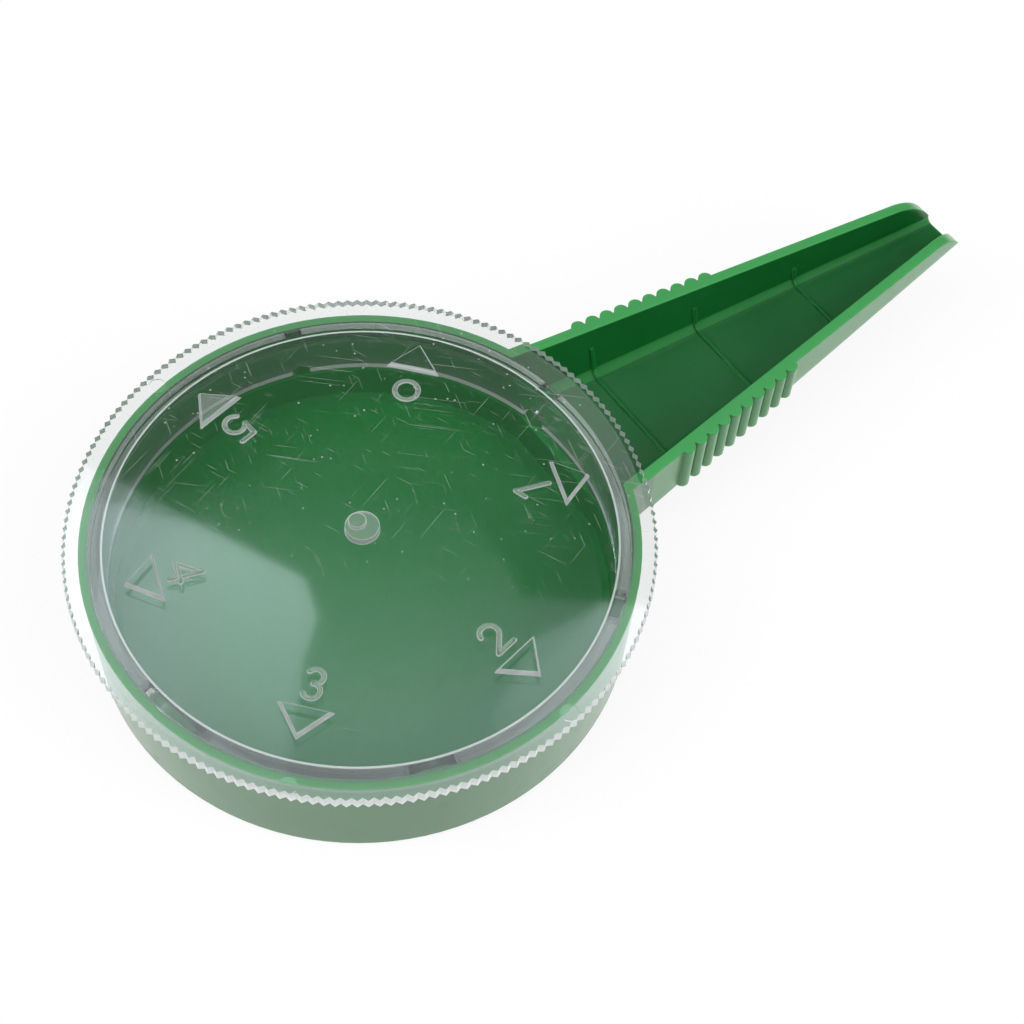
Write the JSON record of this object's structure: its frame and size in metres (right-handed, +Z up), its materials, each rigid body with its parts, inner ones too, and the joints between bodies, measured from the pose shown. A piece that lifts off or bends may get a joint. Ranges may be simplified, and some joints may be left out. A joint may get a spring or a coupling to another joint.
{
  "type": "dial seed sower",
  "caption": "Hand seed sower: round seed tray with a tapered open chute under a clear turning dial lid whose skirt has gates of growing size.",
  "frame": {"origin": "centre of the tray's flat base, on the axis of the dial", "axes": "+X along the chute to its spout, +Z up through the dial lid, +Y across"},
  "size_m": [0.129, 0.07, 0.0178],
  "materials": {
    "green_plastic": "moulded gloss, slightly translucent",
    "clear_plastic": "clear moulded styrene, lightly scratched"
  },
  "bodies": {
    "tray": {"seed_tray": "green_plastic"},
    "dial": {"dial_lid": "clear_plastic"}
  },
  "joints": [
    {"name": "dial_turn", "type": "hinge", "parent": "tray", "child": "dial", "pos_m": [0, 0, 0.0148], "axis": [0, 0, 1], "continuous": true}
  ]
}
